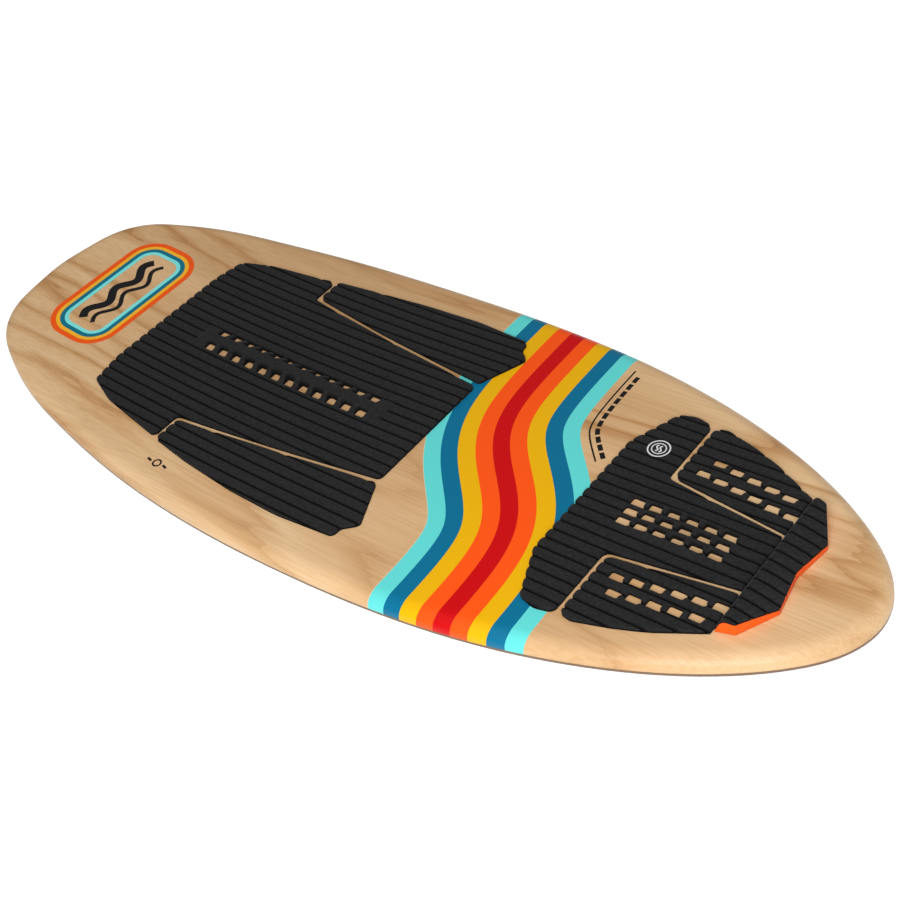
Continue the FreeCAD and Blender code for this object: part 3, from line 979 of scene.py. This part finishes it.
def build_side_lines(ink):
    """A thin printed line and a bold dashed one beside the stripes on the deck's right side."""
    path = stripe_path()
    along = np.gradient(path, axis=0)
    along /= np.linalg.norm(along, axis=1)[:, None]
    side = np.stack([along[:, 1], -along[:, 0]], 1)

    def stretch(line):
        moved = path + side * line["offset"]
        return moved[(moved[:, 0] > line["start"]) & (moved[:, 0] < line["end"])]

    ribbon("side_line", stretch(THIN_LINE), THIN_LINE["width"], ink)
    bold = stretch(DASHED_LINE)
    run = np.concatenate([[0], np.cumsum(np.linalg.norm(np.diff(bold, axis=0), axis=1))])
    dash = DASHED_LINE["dash"]
    for start in np.arange(0, run[-1] - dash, dash + DASHED_LINE["gap"]):
        at = np.linspace(start, start + dash, 6)
        piece = np.stack([np.interp(at, run, bold[:, k]) for k in (0, 1)], 1)
        ribbon("side_dash", piece, DASHED_LINE["width"], ink)


def build_side_mark(ink):
    """A small printed mark by the left rail: a ring between two short bars."""
    x, y = SIDE_MARK
    steps = np.array([[-1], [0], [1]])
    for dy in (-MARK_BAR["offset"], MARK_BAR["offset"]):
        bar = np.array([x, y + dy]) + steps * np.array([MARK_BAR["slant"], MARK_BAR["half"]])
        ribbon("mark_bar", bar, MARK_BAR["width"], ink)
    turn = np.linspace(0, 2 * math.pi, 33)
    circle = np.stack([np.cos(turn), np.sin(turn)], 1)
    ribbon("mark_ring", np.array([x, y]) + MARK_RING["radius"] * circle, MARK_RING["width"], ink)


def build_badge(white, black):
    """The CAD's badge in black, with two white rings and two waves printed on it."""
    low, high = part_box("pad_badge")
    centre = (low + high) / 2
    radius = (high.x - low.x) / 2
    top = high.z
    paint("pad_badge", black, bevel=0.3 * MM)
    count = BADGE_STEPS
    for name, outer, inner in BADGE_RINGS:
        verts = []
        for share in (outer, inner):
            for k in range(count):
                a = 2 * math.pi * k / count
                x = centre.x + share * radius * math.cos(a)
                y = centre.y + share * radius * math.sin(a)
                verts.append((x, y, top + BADGE_LIFT))
        faces = [(k, (k + 1) % count, count + (k + 1) % count, count + k) for k in range(count)]
        add_mesh(name, verts, faces, white)
    t = np.linspace(-1, 1, 30)
    for offset in (-BADGE_WAVE["offset"], BADGE_WAVE["offset"]):
        x = centre.x + t * BADGE_WAVE["half"] * radius
        y = centre.y + offset * radius + BADGE_WAVE["height"] * radius * np.sin(t * math.pi)
        lift = float((top + BADGE_LIFT - deck_z(y)).mean())
        stroke = ribbon("badge_wave", np.stack([x, y], 1), BADGE_WAVE["width"] * radius, white, lift)


# ================================================================== CAD nodes shown as they are
def paint(node, material, bevel=0.0):
    """Gives a CAD node a material, smooth shading and, if asked, softened edges."""
    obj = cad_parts[node]
    obj.data.materials.clear()
    obj.data.materials.append(material)
    obj.data.polygons.foreach_set("use_smooth", [True] * len(obj.data.polygons))
    obj.data.set_sharp_from_angle(angle=math.radians(CAD_SHARP))
    if bevel:
        modifier = obj.modifiers.new("soft edge", "BEVEL")
        modifier.width = bevel
        modifier.segments = 3
        modifier.limit_method = "ANGLE"
        modifier.angle_limit = math.radians(BEVEL_SHARP)


def paint_hidden_and_under():
    """Materials of the CAD nodes inside, under and between the pieces built here."""
    hull = plastic_material("polished bottom", (22, 24, 27), 0.25, 0.6)
    box = plastic_material("box plastic", (30, 30, 32), 0.5)
    fin = plastic_material("fin plastic", (18, 18, 20), 0.3, 0.3)
    core = plastic_material("core foam", (238, 232, 220), 0.9)
    edge = plastic_material("rail edge", (112, 86, 62), 0.5)
    film = plastic_material("adhesive film", (60, 58, 54), 0.5)
    wood = Nodes("stringer wood", roughness=0.6)
    wood.colour(wood_colour(wood))
    steel = steel_material()
    paint("bottom_skin", hull)
    paint("rail_edge", edge)
    paint("stringer", wood.material)
    for side in ("left", "right"):
        paint("foam_core_" + side, core)
        paint("fin_box_" + side, box)
        paint("fin_" + side, fin)
        paint("fin_screws_" + side, steel)
    for node in ("front_centre", "front_side", "rear_centre", "rear_side", "kick"):
        paint(node + "_adhesive", film)


# ================================================================== stage
def build_stage():
    """A white floor just under the board's lowest point, and the lights."""
    mesh = bpy.data.meshes.new("floor")
    z = float(cad_low.z) - FLOOR_DROP
    corners = [(sx * FLOOR_HALF, sy * FLOOR_HALF, z) for sx, sy in ((-1, -1), (1, -1), (1, 1), (-1, 1))]
    mesh.from_pydata(corners, [], [(0, 1, 2, 3)])
    floor = bpy.data.objects.new("floor", mesh)
    n = Nodes("floor", roughness=0.9)
    n.colour(grey(0.9))
    n.set("Specular IOR Level", 0.0)
    n.set("Emission Color", (1, 1, 1, 1))
    light_path = n.tree.nodes.new("ShaderNodeLightPath")
    extra = n.math("MULTIPLY", light_path.outputs["Is Camera Ray"], FLOOR_GLOW - FLOOR_FILL)
    n.set("Emission Strength", n.math("ADD", extra, FLOOR_FILL))
    # Seen from below, the floor is clear, so that the board's underside shows.
    geometry = n.tree.nodes.new("ShaderNodeNewGeometry")
    n.set("Alpha", n.math("SUBTRACT", 1.0, geometry.outputs["Backfacing"]))
    mesh.materials.append(n.material)
    bpy.context.scene.collection.objects.link(floor)
    bpy.context.scene.view_settings.view_transform = "Standard"
    build_world()
    sun("overhead softbox", **SOFTBOX)
    area_light("left key", **LEFT_KEY)


def build_world():
    """A dim even studio, so that what the lacquer mirrors doesn't wash out its colours.

    The camera sees its walls plain white."""
    world = bpy.data.worlds.new("studio")
    bpy.context.scene.world = world
    world.use_nodes = True
    tree = world.node_tree
    background = tree.nodes["Background"]
    background.inputs["Color"].default_value = (1, 1, 1, 1)
    seen = tree.nodes.new("ShaderNodeLightPath").outputs["Is Camera Ray"]
    level = tree.nodes.new("ShaderNodeMapRange")
    level.inputs["To Min"].default_value = WORLD_LIGHT
    tree.links.new(seen, level.inputs["Value"])
    tree.links.new(level.outputs["Result"], background.inputs["Strength"])


def sun(name, direction, spread, strength):
    """A distant light from one direction; the spread, in degrees, softens its shadows."""
    data = bpy.data.lights.new(name, "SUN")
    data.angle = math.radians(spread)
    data.energy = strength
    obj = bpy.data.objects.new(name, data)
    obj.rotation_euler = Vector(direction).to_track_quat("Z", "Y").to_euler()
    bpy.context.scene.collection.objects.link(obj)


def area_light(name, place, size, power):
    """A square lamp that faces the middle of the board."""
    data = bpy.data.lights.new(name, "AREA")
    data.size = size
    data.energy = power
    obj = bpy.data.objects.new(name, data)
    obj.location = place
    obj.rotation_euler = (Vector((0, 0, 0)) - Vector(place)).to_track_quat("-Z", "Y").to_euler()
    bpy.context.scene.collection.objects.link(obj)


def build_camera():
    """Azimuth 0 looks along the board from the tail; a negative one looks from its left side."""
    data = bpy.data.cameras.new("photo view")
    obj = bpy.data.objects.new("photo view", data)
    bpy.context.scene.collection.objects.link(obj)
    az = math.radians(AZIMUTH)
    el = math.radians(ELEVATION)
    back = Vector((math.sin(az) * math.cos(el), -math.cos(az) * math.cos(el), math.sin(el)))
    target = Vector(TARGET)
    look = (-back).to_track_quat("-Z", "Y").to_matrix().to_4x4()
    roll = Matrix.Rotation(math.radians(ROLL), 4, "Z")
    obj.matrix_world = Matrix.Translation(target + back * DISTANCE) @ look @ roll
    data.lens = LENS
    data.sensor_width = SENSOR
    data.shift_x, data.shift_y = SHIFT
    data.clip_end = CLIP_END
    bpy.context.scene.camera = obj


black_foam = foam_material("pad foam", PAD_COLOUR, 0.28)
orange_foam = foam_material("kick foam", KICK_ORANGE, 0.05)
white_print = print_material("badge white", (232, 232, 232))
black_print = print_material("black print", (24, 22, 22))
paint_hidden_and_under()
deck_hull()
build_pads(black_foam)
build_kick(black_foam, orange_foam)
build_emblem(black_print)
build_side_lines(black_print)
build_side_mark(black_print)
build_badge(white_print, black_foam)
build_stage()
build_camera()
